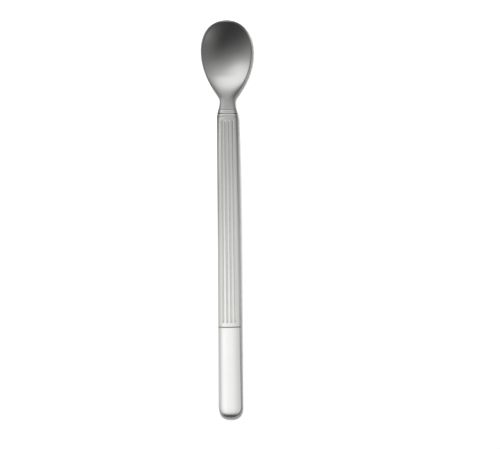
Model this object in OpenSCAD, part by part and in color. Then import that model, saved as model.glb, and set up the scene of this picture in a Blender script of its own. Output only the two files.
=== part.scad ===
// Iced tea spoon with a hollow fluted handle, lying face up on a table.
// +Y runs from the handle to the bowl's tip, X across, +Z up; millimetres.
// The handle is two pressed shells bedded on a tang, closed by a plain solid end.

/* [Bowl] */
// Length from the bowl's tip to the narrowest part of the neck
bowl_length = 39; // [36:0.1:44]
// Width of the bowl at its widest
bowl_width = 24.8; // [22:0.1:28]
// Distance from the tip to the widest part
bowl_widest_at = 14.8; // [13:0.1:17]
// Depth of the hollow below the rim, at its widest part
hollow_depth = 5.5; // [4.5:0.1:6.5]
// Thickness of the metal under the deepest part of the hollow
bowl_wall = 1.4; // [1:0.05:2]
// Width of the land between the hollow and the edge
rim_land = 1.3; // [0.8:0.05:1.6]
// Thickness of the bowl's edge
rim_thickness = 1.4; // [1:0.05:1.8]
// Width over which the land rounds off towards the edge
rim_round = 1.5; // [0.8:0.05:1.8]
// Height of the rim at the tip
tip_height = 9.4; // [7.5:0.1:10]

/* [Neck] */
// Width of the neck at its narrowest
neck_width = 7.1; // [6.5:0.1:8.5]
// Thickness of the neck at its narrowest
neck_thickness = 4.4; // [3.4:0.1:4.8]
// Height of the neck's middle there
neck_height = 6.7; // [6.2:0.1:8]
// Length from the narrowest part to the collar
neck_length = 4.25; // [3.5:0.05:6]
// Width of the tang inside the handle
tang_width = 5; // [4:0.1:5.5]
// Thickness of the tang
tang_thickness = 1.6; // [1.2:0.1:2]
// Length of the tang, from the shoulder on
tang_length = 48; // [30:1:60]

/* [Collar] */
// Length of the ring of two beads
collar_length = 3.2; // [2.6:0.1:4]
// Depth of the sharp crease between the beads
crease_depth = 0.45; // [0.2:0.05:0.6]
// Depth of the soft grooves where the ring meets its neighbours
bead_fall = 0.1; // [0.05:0.01:0.3]

/* [Handle] */
// Length of the two shells
grip_length = 99.75; // [80:0.05:110]
// Width of the handle at the collar
grip_width = 9.95; // [9:0.05:11]
// Thickness of the handle at the collar
grip_thickness = 4.8; // [4.4:0.1:5.4]
// Wall of the pressed shells
shell_wall = 0.7; // [0.5:0.05:0.8]
// Width of one flute
flute_width = 0.95; // [0.7:0.05:1.2]
// Depth of one flute
flute_depth = 0.3; // [0.2:0.01:0.4]
// Plain length between the collar and the outer flutes
flute_start = 1.6; // [1.2:0.1:3]
// Plain length between the flutes and the end cap
flute_stop = 2; // [1.2:0.1:4]
// How much later the two middle flutes start than the outer two
flute_step = 0.4; // [0:0.1:0.8]
// Distance from the tip to the highest part of the handle
crest_at = 78; // [66:1:90]
// Height of the handle's middle there
crest_height = 12.2; // [11:0.1:14]

/* [End cap] */
// Length of the solid end
cap_length = 43.8; // [35:0.1:50]
// Width of the end before its nose rounds off
cap_width = 11.5; // [10.5:0.1:12.5]
// Thickness of the end before its nose rounds off
cap_thickness = 5.5; // [5:0.1:6]
// Length over which the nose rounds off
nose_length = 6; // [4:0.1:8]
// Diameter of the spigot that goes into the handle
spigot_d = 2.6; // [2:0.1:3]
// Length of the spigot
spigot_length = 14; // [8:0.5:20]

/* [Fits] */
// Gap all round what is bedded in the cement
bedding_gap = 0.05; // [0.03:0.01:0.1]
// Rounding of the edges where two pieces meet
seam_ease = 0.25; // [0.1:0.01:0.3]

/* [Hidden] */

// Places along the spoon, measured from the bowl's tip
collar_at = bowl_length + neck_length;
grip_at = collar_at + collar_length;
cap_at = grip_at + grip_length;
end_at = cap_at + cap_length;
nose_at = end_at - nose_length;
spoon_middle = end_at / 2;

// The bowl's outline would close this far past the neck
outline_overrun = 2.9;
outline_length = bowl_length + outline_overrun;
hollow_length = outline_length - rim_land;
widest_share = bowl_widest_at / outline_length;
// The outline's own form: how quickly it closes at the back, how full it is along the way,
// and where that makes it widest
back_close_share = 2.28;
fullness_shares = [1, -0.34, 1.56];
full_at_share = 0.355;
// Softness of the corner where the bowl runs into the neck
neck_blend = 0.5;
// The hollow's own corner with the land
land_blend_share = 0.03;
// How the hollow's depth leans towards its back, and fades towards both ends
hollow_lean_share = 0.375;
hollow_fade_share = 2.4;
// The bowl's cross-section turns into the neck's between here and the narrowest part
blend_length = 13;
// Slopes of the rim at the tip, of the neck, and of the handle's end
tip_slope_share = -0.1;
neck_slope_share = 0.19;
end_slope_share = -0.1;

// Powers of the cross-section: nearly an ellipse at the neck, squarer in handle and cap
blend_power_share = 3.6;
neck_power_share = 2.4;
section_power_share = 2.6;
// Power of the nose, seen from above
nose_power_share = 2.45;
// How the handle's width gathers towards its end
taper_share = 1.7;
// Distance between flutes, as a share of the handle's half width
flute_pitch_share = 0.357;
flute_places = [1.5, 0.5, -0.5, -1.5];
flute_point_shares = [1, 0.5, 0, -0.5, -1];

// Points of a full ring in each quarter, gathered towards the two sides
quarter_points = 11;
gather_share = 1.25;
side_angles = [for (i = [0:quarter_points - 1]) 90 * pow(i / quarter_points, gather_share)];
ring_angles = [
    for (quarter = [0:3])
        for (i = [0:quarter_points - 1])
            quarter % 2 == 0
                ? 90 * quarter + side_angles[i]
                : 90 * (quarter + 1) - (i == 0 ? 90 : side_angles[quarter_points - i])
];
// Angles of a shell's plain edge, outside its flutes
edge_angles = [0, 9, 20, 31, 42];
// Steps of a rounded edge or a bead
ease_steps = 3;
bead_steps = 6;
nose_steps = 8;
front_steps = 14;
// The last ring of the nose, as a share of its full width
nose_tip_share = 0.04;
// Longest step between two rings of the handle, the bowl's back and the tang
ring_spacing = 5.5;
bowl_ring_spacing = 1.25;
tang_ring_spacing = 6;
// How far a cut or a root runs into its neighbour
overrun = 0.5;
// Taper and corner of the tang
tang_tip_share = 0.6;
tang_corner_share = 0.25;

// Small sums
function mix(a, b, t) = a + (b - a) * t;
function reversed(list) = [for (i = [len(list) - 1:-1:0]) list[i]];
function ease(t) =
    let (c = min(1, max(0, t)))
    c * c * (3 - 2 * c);
function signed_pow(value, power) = sign(value) * pow(abs(value), power);
function soft_max(a, b, k) = (a + b + sqrt((a - b) * (a - b) + k * k)) / 2;
function round_over(d, r) = d >= r ? 1 : sqrt(max(0, 1 - pow(1 - max(0, d) / r, 2)));
// A curve from height a to height b over a length, with its slopes at both ends
function bend(t, length, a, slope_a, b, slope_b) =
    mix(a, b, ease(t))
    + length * slope_a * t * (1 - t) * (1 - t)
    - length * slope_b * t * t * (1 - t);
function bend_slope(t, length, a, slope_a, b, slope_b) =
    6 * t * (1 - t) * (b - a) / length
    + slope_a * (1 - t) * (1 - 3 * t)
    + slope_b * t * (3 * t - 2);
// Places from one end to the other, no further apart than a spacing
function places(from, to, spacing) =
    let (steps = max(1, ceil((to - from) / spacing)))
    [for (i = [0:steps]) mix(from, to, i / steps)];
// Places that crowd towards the first one, along a rounded edge
function edge_places(from, length, steps) =
    [for (i = [0:steps]) from + length * (1 - cos(90 * i / steps))];
function edge_places_back(to, length, steps) =
    [for (i = [steps:-1:0]) to - length * (1 - cos(90 * i / steps))];

// Seen from above: half the width at a place along the spoon
function fullness(t) =
    t * pow(1 - t, back_close_share)
    * (fullness_shares[0] + fullness_shares[1] * t + fullness_shares[2] * t * t);
function egg(t) =
    let (u = t <= 0 ? 0 : pow(t, ln(full_at_share) / ln(widest_share)))
    u <= 0 || u >= 1 ? 0 : sqrt(fullness(u) / fullness(full_at_share));
function bowl_half(s) = bowl_width / 2 * egg(s / outline_length);
function along_neck(s) = ease((s - bowl_length) / (grip_at - bowl_length));
function neck_half(s) = mix(neck_width, grip_width, along_neck(s)) / 2;
function grip_half(s) =
    mix(grip_width, cap_width, pow(min(1, max(0, (s - grip_at) / (nose_at - grip_at))), taper_share))
    / 2;
function nose_scale(s) =
    s <= nose_at
        ? 1
        : pow(max(0, 1 - pow((s - nose_at) / nose_length, nose_power_share)), 1 / nose_power_share);
function half_width(s) =
    s < bowl_length / 2 ? bowl_half(s)
    : s < grip_at ? soft_max(bowl_half(s), neck_half(s), neck_blend * ease(s / bowl_length))
    : grip_half(s) * nose_scale(s);

// Seen from the side: half the thickness, and the height of the middle
function half_thickness(s) =
    s < grip_at
        ? mix(neck_thickness, grip_thickness, along_neck(s)) / 2
        : mix(grip_thickness, cap_thickness, min(1, (s - grip_at) / (nose_at - grip_at)))
            * nose_scale(s) / 2;
// How far the bowl has turned into the neck, from 0 to 1
function neck_turn(s) = ease((s - bowl_length + blend_length) / blend_length);
function rim_height(s) =
    bend(s / bowl_length, bowl_length, tip_height, tip_slope_share,
        neck_height + neck_thickness / 2, neck_slope_share);
function rim_slope(s) =
    bend_slope(s / bowl_length, bowl_length, tip_height, tip_slope_share,
        neck_height + neck_thickness / 2, neck_slope_share);
function tail_share(s) = (s - crest_at) / (end_at - crest_at);
function middle_height(s, end_height) =
    s < bowl_length ? rim_height(s) - neck_thickness / 2
    : s < crest_at
        ? bend((s - bowl_length) / (crest_at - bowl_length), crest_at - bowl_length,
            neck_height, neck_slope_share, crest_height, 0)
    : bend(tail_share(s), end_at - crest_at, crest_height, 0, end_height, end_slope_share);
function middle_slope(s, end_height) =
    s < bowl_length ? rim_slope(s) * neck_turn(s)
    : s < crest_at
        ? bend_slope((s - bowl_length) / (crest_at - bowl_length), crest_at - bowl_length,
            neck_height, neck_slope_share, crest_height, 0)
    : bend_slope(tail_share(s), end_at - crest_at, crest_height, 0, end_height, end_slope_share);

// The hollow's depth below the rim, and the underside's depth below the edge
function hollow_half(s) = (bowl_width / 2 - rim_land) * egg((s - rim_land) / hollow_length);
function hollow_lean(s) =
    let (d = s / outline_length - widest_share)
    1 + hollow_lean_share * d - hollow_fade_share * d * d;
function hollow_fall(s, x) =
    let (reach = bowl_width / 2 - rim_land)
    let (dish = (hollow_half(s) * hollow_half(s) - x * x) / (reach * reach))
    hollow_depth * hollow_lean(s) * soft_max(dish, 0, land_blend_share);
function underside_fall(s, x) =
    let (reach = bowl_width / 2)
    let (dish = (bowl_half(s) * bowl_half(s) - x * x) / (reach * reach))
    (hollow_depth + bowl_wall - rim_thickness) * hollow_lean(s) * max(0, dish);
function bowl_bottom(s) = rim_height(s) - rim_thickness - underside_fall(s, 0);

// The table: the bowl's lowest point, which the end cap is let down to meet
table_level = min([for (s = places(0, bowl_length, overrun)) bowl_bottom(s)]);
end_height = max([
    for (s = places(cap_at, end_at - overrun, overrun))
        let (carried = ease(tail_share(s)))
        (table_level + half_thickness(s) - middle_height(s, 0)) / carried
]);

// A point across (x) and above (v) the middle line, set square to that line
function set_point(s, x, v) =
    let (tilt = atan(middle_slope(s, end_height)))
    [
        x,
        spoon_middle - s + v * sin(tilt),
        middle_height(s, end_height) - table_level + v * cos(tilt)
    ];
function set_ring(s, ring) = [for (p = ring) set_point(s, p.x, p.y)];

// Rings across the spoon
function section_power(s) = s < bowl_length
    ? mix(blend_power_share, neck_power_share, neck_turn(s))
    : mix(neck_power_share, section_power_share, along_neck(s));
function oval(angle, half_w, half_t, power) =
    [half_w * signed_pow(cos(angle), 2 / power), half_t * signed_pow(sin(angle), 2 / power)];
function handle_ring(s, inset) =
    [
        for (angle = ring_angles)
            oval(angle, half_width(s) - inset, half_thickness(s) - inset, section_power(s))
    ];

// The bowl's own cross-section at one angle, top above the edge and underside below it
function bowl_point(s, angle) =
    let (half = half_width(s))
    let (x = half * cos(angle))
    let (edge = rim_thickness / 2)
    let (full = round_over(half - abs(x), rim_round) * round_over(s, rim_round))
    let (above = -edge + edge * full - hollow_fall(s, x))
    let (below = -edge - edge * full - underside_fall(s, x))
    [x, neck_thickness / 2 + (sin(angle) >= 0 ? above : below)];
function bowl_ring(s) =
    let (turn = neck_turn(s))
    [
        for (angle = ring_angles)
            let (neck_point = oval(angle, half_width(s), half_thickness(s), section_power(s)))
            mix(bowl_point(s, angle), neck_point, turn)
    ];

// Half rings of the two shells: the outside with its flutes, then the inside
function flute_cut(s, place) =
    let (first = grip_at + flute_start + (abs(place) < 1 ? flute_step : 0))
    let (d = min(s - first, cap_at - flute_stop - s))
    d <= 0 ? 0 : flute_depth * round_over(d, flute_width / 2);
function oval_top(x, half_w, half_t) =
    half_t * pow(max(0, 1 - pow(abs(x) / half_w, section_power_share)), 1 / section_power_share);
function flute_points(s, half_w, half_t) =
    [
        for (place = flute_places)
            for (share = flute_point_shares)
                let (x = place * flute_pitch_share * half_width(s) + share * flute_width / 2)
                [x, oval_top(x, half_w, half_t) - flute_cut(s, place) * (1 - share * share)]
    ];
function lining_points(half_w, half_t) =
    [
        for (place = flute_places)
            let (x = place * flute_pitch_share * half_w)
            [x, oval_top(x, half_w, half_t)]
    ];
function with_edges(half_w, half_t, between) =
    let (edge = [for (angle = edge_angles) oval(angle, half_w, half_t, section_power_share)])
    concat(edge, between, [for (p = reversed(edge)) [-p.x, p.y]]);
function shell_ring(s, inset) =
    let (half_w = half_width(s))
    let (half_t = half_thickness(s))
    let (skin = with_edges(half_w - inset, half_t - inset,
        flute_points(s, half_w - inset, half_t - inset)))
    let (lining = with_edges(half_w - shell_wall, half_t - shell_wall,
        lining_points(half_w - shell_wall, half_t - shell_wall)))
    concat(skin, reversed(lining));

// The cut end of a shell: each point of the skin meets one of the lining
skin_count = 2 * len(edge_angles) + len(flute_places) * len(flute_point_shares);
lining_count = 2 * len(edge_angles) + len(flute_places);
function lining_beside(i) =
    let (edge = len(edge_angles))
    let (in_flutes = floor((i - edge) / len(flute_point_shares)))
    let (order = i < edge ? i : i >= skin_count - edge ? i - skin_count + lining_count : edge + in_flutes)
    skin_count + lining_count - 1 - order;
shell_end = [
    for (i = [0:skin_count - 2])
        let (a = lining_beside(i))
        let (b = lining_beside(i + 1))
        each a == b ? [[i, i + 1, a]] : [[i, i + 1, b], [i, b, a]]
];

// A solid skin over a list of rings that all have as many points. An end is one face, or
// the triangles given for it, and mirrored rings ask for mirrored faces.
module loft(rings, end = [], mirrored = false) {
    count = len(rings[0]);
    last = len(rings) - 1;
    sides = [
        for (i = [0:last - 1])
            for (j = [0:count - 1])
                let (a = i * count + j)
                let (b = i * count + (j + 1) % count)
                each [[a, b + count, b], [a, a + count, b + count]]
    ];
    near_end = len(end) > 0 ? end : [[for (j = [0:count - 1]) j]];
    far_end = [for (face = near_end) [for (j = reversed(face)) last * count + j]];
    faces = concat(sides, near_end, far_end);
    polyhedron(
        points = [for (ring = rings) each ring],
        faces = mirrored ? [for (face = faces) reversed(face)] : faces,
        convexity = 10
    );
}

// The tang, or with a gap the space that it needs
module tang_bar(gap) {
    reach = tang_length + gap;
    rings = [
        for (s = places(collar_at - overrun, collar_at + reach, tang_ring_spacing))
            let (narrowing = mix(1, tang_tip_share, max(0, s - collar_at) / tang_length))
            let (half_w = tang_width / 2 * narrowing + gap)
            let (half_t = tang_thickness / 2 + gap)
            let (corner = half_t * tang_corner_share)
            set_ring(s, [
                [half_w, -half_t + corner],
                [half_w, half_t - corner],
                [half_w - corner, half_t],
                [corner - half_w, half_t],
                [-half_w, half_t - corner],
                [-half_w, corner - half_t],
                [corner - half_w, -half_t],
                [half_w - corner, -half_t]
            ])
    ];
    loft(rings);
}

// The spigot, or with a gap the bore that it needs
module spigot_bar(gap) {
    tilt = atan(middle_slope(cap_at, end_height));
    translate(set_point(cap_at, 0, 0))
        rotate([-90 - tilt, 0, 0])
            translate([0, 0, -overrun])
                cylinder(d = spigot_d + 2 * gap, h = spigot_length + gap + overrun, $fn = 48);
}

module bowl() {
    // Rings crowd towards the tip, so that each is wider than the last by as much
    front = [for (i = [1:front_steps]) bowl_widest_at * pow(i / front_steps, 2)];
    back = places(bowl_widest_at, bowl_length, bowl_ring_spacing);
    shoulder = places(bowl_length, collar_at - seam_ease, bowl_ring_spacing);
    color("silver")
        union() {
            loft(concat(
                [for (s = front) set_ring(s, bowl_ring(s))],
                [for (i = [1:len(back) - 1]) set_ring(back[i], bowl_ring(back[i]))],
                [for (i = [1:len(shoulder) - 1]) set_ring(shoulder[i], handle_ring(shoulder[i], 0))],
                [set_ring(collar_at, handle_ring(collar_at, bead_fall))]
            ));
            tang_bar(0);
        }
}

// How far the ring's surface lies below the handle's line, over its two beads
function bead_inset(s) =
    let (across = 2 * (s - collar_at) / collar_length)
    let (swing = 2 * (across - (across < 1 ? 0 : 1)) - 1)
    let (crease_side = across < 1 ? swing > 0 : swing < 0)
    (crease_side ? crease_depth : bead_fall) * (1 - round_over(1 - abs(swing), 1));

module collar() {
    bead = collar_length / 2;
    first = [for (i = [0:bead_steps]) collar_at + bead * (1 - cos(180 * i / bead_steps)) / 2];
    second = [for (i = [1:bead_steps]) first[i] + bead];
    color("gainsboro")
        difference() {
            loft([for (s = concat(first, second)) set_ring(s, handle_ring(s, bead_inset(s)))]);
            tang_bar(bedding_gap);
        }
}

// One pressed half of the handle
module handle_shell(side) {
    flutes_from = grip_at + flute_start;
    flutes_to = cap_at - flute_stop;
    end_round = flute_width / 2;
    stations = concat(
        edge_places(grip_at, seam_ease, ease_steps - 1),
        edge_places(flutes_from, end_round + flute_step, ease_steps),
        [for (s = places(flutes_from + end_round + flute_step, flutes_to - end_round, ring_spacing)) s],
        edge_places_back(flutes_to, end_round, ease_steps),
        edge_places_back(cap_at, seam_ease, ease_steps - 1)
    );
    kept = [
        for (i = [0:len(stations) - 1])
            if (i == 0 || stations[i] > stations[i - 1] + bedding_gap / 10) stations[i]
    ];
    rings = [
        for (s = kept)
            let (inset = seam_ease * (1 - round_over(min(s - grip_at, cap_at - s), seam_ease)))
            set_ring(s, [for (p = shell_ring(s, inset)) [p.x, side * p.y]])
    ];
    loft(rings, shell_end, side < 0);
}

module handle_front() {
    color("lightgray") handle_shell(1);
}

module handle_back() {
    color("darkgray") handle_shell(-1);
}

module cement_core() {
    inset = shell_wall + bedding_gap;
    color("tan")
        difference() {
            loft([
                for (s = places(grip_at + bedding_gap, cap_at - bedding_gap, ring_spacing))
                    set_ring(s, handle_ring(s, inset))
            ]);
            tang_bar(bedding_gap);
            spigot_bar(bedding_gap);
        }
}

module end_cap() {
    eased = edge_places(cap_at, seam_ease, ease_steps);
    body = places(cap_at + seam_ease, nose_at, ring_spacing);
    nose = [
        for (i = [1:nose_steps])
            let (width_share = max(nose_tip_share, cos(90 * i / nose_steps)))
            nose_at + nose_length
                * pow(1 - pow(width_share, nose_power_share), 1 / nose_power_share)
    ];
    color("whitesmoke")
        union() {
            loft([
                for (s = concat(eased, [for (i = [1:len(body) - 1]) body[i]], nose))
                    let (inset = seam_ease * (1 - round_over(s - cap_at, seam_ease)))
                    set_ring(s, handle_ring(s, inset))
            ]);
            spigot_bar(0);
        }
}

bowl();
collar();
handle_front();
handle_back();
cement_core();
end_cap();
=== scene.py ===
"""Iced tea spoon with a hollow fluted handle, lying face up on a white table.

The bowl with its tang, the beaded collar, the two fluted half shells and the solid end are
lofted here from the sizes of the spoon's solids, with finer steps and a finer rim.
"""
import math

import bpy
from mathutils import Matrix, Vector

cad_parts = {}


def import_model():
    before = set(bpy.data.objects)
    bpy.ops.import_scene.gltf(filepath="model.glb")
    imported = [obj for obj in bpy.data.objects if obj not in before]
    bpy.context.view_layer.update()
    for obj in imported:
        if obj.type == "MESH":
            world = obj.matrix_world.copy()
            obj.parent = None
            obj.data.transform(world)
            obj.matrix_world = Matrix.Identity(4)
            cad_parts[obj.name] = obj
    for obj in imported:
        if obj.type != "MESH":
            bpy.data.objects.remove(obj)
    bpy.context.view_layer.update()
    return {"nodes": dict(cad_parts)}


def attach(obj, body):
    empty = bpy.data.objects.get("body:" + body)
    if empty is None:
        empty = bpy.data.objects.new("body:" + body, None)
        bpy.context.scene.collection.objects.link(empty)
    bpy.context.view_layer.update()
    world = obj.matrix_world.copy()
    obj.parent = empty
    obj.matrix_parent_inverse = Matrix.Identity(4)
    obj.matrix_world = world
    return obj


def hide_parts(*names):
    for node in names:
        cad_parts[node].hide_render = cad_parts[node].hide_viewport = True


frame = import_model()

MM = 0.001

# Sizes of the spoon in millimetres, as in its solids but for the rim, which is finer here
BOWL_LENGTH = 39.0
BOWL_WIDTH = 24.8
BOWL_WIDEST_AT = 14.8
HOLLOW_DEPTH = 5.5
BOWL_WALL = 1.4
RIM_LAND = 0.75
RIM_THICKNESS = 1.4
RIM_ROUND = 0.9
TIP_HEIGHT = 9.4
NECK_WIDTH = 7.1
NECK_THICKNESS = 4.4
NECK_HEIGHT = 6.7
NECK_LENGTH = 4.25
TANG_WIDTH = 5.0
TANG_THICKNESS = 1.6
TANG_LENGTH = 48.0
COLLAR_LENGTH = 3.2
CREASE_DEPTH = 0.45
BEAD_FALL = 0.1
GRIP_LENGTH = 99.75
GRIP_WIDTH = 9.95
GRIP_THICKNESS = 4.8
SHELL_WALL = 0.7
FLUTE_WIDTH = 0.95
FLUTE_DEPTH = 0.3
FLUTE_START = 1.6
FLUTE_STOP = 2.0
FLUTE_STEP = 0.4
CREST_AT = 78.0
CREST_HEIGHT = 12.2
CAP_LENGTH = 43.8
CAP_WIDTH = 11.5
CAP_THICKNESS = 5.5
NOSE_LENGTH = 6.0
SPIGOT_D = 2.6
SPIGOT_LENGTH = 14.0
BEDDING_GAP = 0.05
SEAM_EASE = 0.25
OUTLINE_OVERRUN = 2.9
NECK_BLEND = 0.5
BLEND_LENGTH = 13.0

# Shares, slopes and powers that shape its curves
BACK_CLOSE = 2.28
FULLNESS = (1.0, -0.34, 1.56)
FULL_AT = 0.355
LAND_BLEND = 0.03
HOLLOW_LEAN = 0.375
HOLLOW_FADE = 2.4
TIP_SLOPE = -0.1
NECK_SLOPE = 0.19
END_SLOPE = -0.1
BLEND_POWER = 3.6
NECK_POWER = 2.4
SECTION_POWER = 2.6
NOSE_POWER = 2.45
TAPER_POWER = 1.7
FLUTE_PITCH = 0.357
FLUTE_PLACES = (1.5, 0.5, -0.5, -1.5)

# Places along the spoon, measured from the bowl's tip
COLLAR_AT = BOWL_LENGTH + NECK_LENGTH
GRIP_AT = COLLAR_AT + COLLAR_LENGTH
CAP_AT = GRIP_AT + GRIP_LENGTH
END_AT = CAP_AT + CAP_LENGTH
NOSE_AT = END_AT - NOSE_LENGTH
SPOON_MIDDLE = END_AT / 2
OUTLINE_LENGTH = BOWL_LENGTH + OUTLINE_OVERRUN
WIDEST = BOWL_WIDEST_AT / OUTLINE_LENGTH

# The rim's line, and the rise to the crest, as length, height, slope, height, slope
RIM_LINE = (BOWL_LENGTH, TIP_HEIGHT, TIP_SLOPE, NECK_HEIGHT + NECK_THICKNESS / 2, NECK_SLOPE)
RISE_LINE = (CREST_AT - BOWL_LENGTH, NECK_HEIGHT, NECK_SLOPE, CREST_HEIGHT, 0.0)


def mix(a, b, t):
    return a + (b - a) * t


def clamp(t):
    return min(1.0, max(0.0, t))


def ease(t):
    c = clamp(t)
    return c * c * (3 - 2 * c)


def signed_pow(value, power):
    return math.copysign(abs(value) ** power, value)


def soft_max(a, b, k):
    """The larger of two values, rounded where they cross."""
    return (a + b + math.sqrt((a - b) ** 2 + k * k)) / 2


def round_over(d, r):
    """Height of a rounded edge at a distance from it, from 0 at the edge to 1 past it."""
    return 1.0 if d >= r else math.sqrt(max(0.0, 1 - (1 - max(0.0, d) / r) ** 2))


def bend(t, length, a, slope_a, b, slope_b):
    """A smooth line from height a to height b that starts and ends at given slopes."""
    return mix(a, b, ease(t)) + length * (slope_a * t * (1 - t) ** 2 - slope_b * t * t * (1 - t))


def bend_slope(t, length, a, slope_a, b, slope_b):
    rise = 6 * t * (1 - t) * (b - a) / length
    return rise + slope_a * (1 - t) * (1 - 3 * t) + slope_b * t * (3 * t - 2)


def places(start, stop, spacing):
    """Even places from start to stop, no further apart than the spacing."""
    steps = max(1, math.ceil((stop - start) / spacing))
    return [mix(start, stop, i / steps) for i in range(steps + 1)]


def fullness(t):
    return t * (1 - t) ** BACK_CLOSE * (FULLNESS[0] + FULLNESS[1] * t + FULLNESS[2] * t * t)


def egg(t):
    """Half width of the egg's outline as a share of its largest, along a share of its length."""
    if t <= 0 or t >= 1:
        return 0.0
    return math.sqrt(fullness(t ** (math.log(FULL_AT) / math.log(WIDEST))) / fullness(FULL_AT))


def bowl_half(s):
    return BOWL_WIDTH / 2 * egg(s / OUTLINE_LENGTH)


def neck_turn(s):
    """How far the bowl's section has turned into the neck's oval."""
    return ease((s - BOWL_LENGTH + BLEND_LENGTH) / BLEND_LENGTH)


def along_neck(s):
    return ease((s - BOWL_LENGTH) / (GRIP_AT - BOWL_LENGTH))


def along_handle(s):
    return clamp((s - GRIP_AT) / (NOSE_AT - GRIP_AT))


def nose_scale(s):
    if s <= NOSE_AT:
        return 1.0
    return max(0.0, 1 - ((s - NOSE_AT) / NOSE_LENGTH) ** NOSE_POWER) ** (1 / NOSE_POWER)


def half_width(s):
    if s < BOWL_LENGTH / 2:
        return bowl_half(s)
    if s < GRIP_AT:
        neck_half = mix(NECK_WIDTH, GRIP_WIDTH, along_neck(s)) / 2
        return soft_max(bowl_half(s), neck_half, NECK_BLEND * ease(s / BOWL_LENGTH))
    return mix(GRIP_WIDTH, CAP_WIDTH, along_handle(s) ** TAPER_POWER) / 2 * nose_scale(s)


def half_thickness(s):
    if s < GRIP_AT:
        return mix(NECK_THICKNESS, GRIP_THICKNESS, along_neck(s)) / 2
    return mix(GRIP_THICKNESS, CAP_THICKNESS, along_handle(s)) * nose_scale(s) / 2


def rim_height(s):
    return bend(s / BOWL_LENGTH, *RIM_LINE)


def tail_share(s):
    return (s - CREST_AT) / (END_AT - CREST_AT)


def middle_height(s, end_height):
    """Height of the line that the sections are set on, before the spoon is put on the table."""
    if s < BOWL_LENGTH:
        return rim_height(s) - NECK_THICKNESS / 2
    if s < CREST_AT:
        return bend((s - BOWL_LENGTH) / (CREST_AT - BOWL_LENGTH), *RISE_LINE)
    return bend(tail_share(s), END_AT - CREST_AT, CREST_HEIGHT, 0, end_height, END_SLOPE)


def middle_slope(s, end_height):
    if s < BOWL_LENGTH:
        return bend_slope(s / BOWL_LENGTH, *RIM_LINE) * neck_turn(s)
    if s < CREST_AT:
        return bend_slope((s - BOWL_LENGTH) / (CREST_AT - BOWL_LENGTH), *RISE_LINE)
    return bend_slope(tail_share(s), END_AT - CREST_AT, CREST_HEIGHT, 0, end_height, END_SLOPE)


def hollow_half(s):
    reach = BOWL_WIDTH / 2 - RIM_LAND
    return reach * egg((s - RIM_LAND) / (OUTLINE_LENGTH - RIM_LAND))


def hollow_lean(s):
    """Share of the dish's depth, fullest a little behind where the bowl is widest."""
    d = s / OUTLINE_LENGTH - WIDEST
    return 1 + HOLLOW_LEAN * d - HOLLOW_FADE * d * d


def hollow_fall(s, x):
    dish = (hollow_half(s) ** 2 - x * x) / (BOWL_WIDTH / 2 - RIM_LAND) ** 2
    return HOLLOW_DEPTH * hollow_lean(s) * soft_max(dish, 0, LAND_BLEND)


def underside_fall(s, x):
    dish = (bowl_half(s) ** 2 - x * x) / (BOWL_WIDTH / 2) ** 2
    return (HOLLOW_DEPTH + BOWL_WALL - RIM_THICKNESS) * hollow_lean(s) * max(0.0, dish)


def bowl_bottom(s):
    return rim_height(s) - RIM_THICKNESS - underside_fall(s, 0)


# The spoon rests on the lowest point of its bowl and on the underside of its end
TABLE_STEP = 0.5
TABLE_LEVEL = min(bowl_bottom(s) for s in places(0, BOWL_LENGTH, TABLE_STEP))
END_HEIGHT = max(
    (TABLE_LEVEL + half_thickness(s) - middle_height(s, 0)) / ease(tail_share(s))
    for s in places(CAP_AT, END_AT - TABLE_STEP, TABLE_STEP)
)


def set_point(s, x, v):
    """A point of the section at s, x across and v above its middle, in metres."""
    tilt = math.atan(middle_slope(s, END_HEIGHT))
    y = SPOON_MIDDLE - s + v * math.sin(tilt)
    z = middle_height(s, END_HEIGHT) - TABLE_LEVEL + v * math.cos(tilt)
    return (x * MM, y * MM, z * MM)


def section_power(s):
    if s < BOWL_LENGTH:
        return mix(BLEND_POWER, NECK_POWER, neck_turn(s))
    return mix(NECK_POWER, SECTION_POWER, along_neck(s))


def oval(angle, half_w, half_t, power=SECTION_POWER):
    share = 2 / power
    x = half_w * signed_pow(math.cos(angle), share)
    return (x, half_t * signed_pow(math.sin(angle), share))


def bowl_point(s, angle):
    half = half_width(s)
    x = half * math.cos(angle)
    edge = RIM_THICKNESS / 2
    full = round_over(half - abs(x), RIM_ROUND) * round_over(s, RIM_ROUND)
    above = -edge + edge * full - hollow_fall(s, x)
    below = -edge - edge * full - underside_fall(s, x)
    return (x, NECK_THICKNESS / 2 + (above if math.sin(angle) >= 0 else below))


# How finely the pieces are drawn, with steps in millimetres and angles in degrees
QUARTER_POINTS = 34
GATHER = 1.25
FRONT_RINGS = 56
BOWL_STEP = 0.4
HANDLE_STEP = 1.6
TANG_STEP = 3.0
BEAD_RINGS = 18
EASE_RINGS = 5
NOSE_RINGS = 26
NOSE_TIP = 0.02
EDGE_ANGLES = [0, 2, 5, 9, 13, 17, 21, 25, 29, 33, 37, 41]
FLUTE_SHARES = [1.22, 1.12, 1.04, 0.97, 0.9, 0.8, 0.65, 0.45, 0.22]
FLUTE_BLEND = 0.05
TANG_POWER = 7.0
TANG_TIP = 0.6
SHARP_ANGLE = math.radians(48)

# Painted shade in the seams and flutes, as shares of the darkest, and its reaches in millimetres
SEAM_REACH = 0.25
SEAM_CLEAR = 0.55
SHOULDER_SEAM = 0.05
SOFT_SEAM = 0.3
SHARP_SEAM = 1.0
FLUTE_SHADE = 0.25
FLUTE_END_SHADE = 0.3
FLUTE_END_PLACE = 0.7
FLUTE_END_REACH = 0.6


def ring_angles():
    """Angles round an oval, gathered towards its two thin edges."""
    rise = [90 * (i / QUARTER_POINTS) ** GATHER for i in range(QUARTER_POINTS)]
    fall = [0] + [90 - a for a in reversed(rise[1:])]
    quarters = [(0, rise), (90, fall), (180, rise), (270, fall)]
    return [math.radians(start + a) for start, quarter in quarters for a in quarter]


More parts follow.
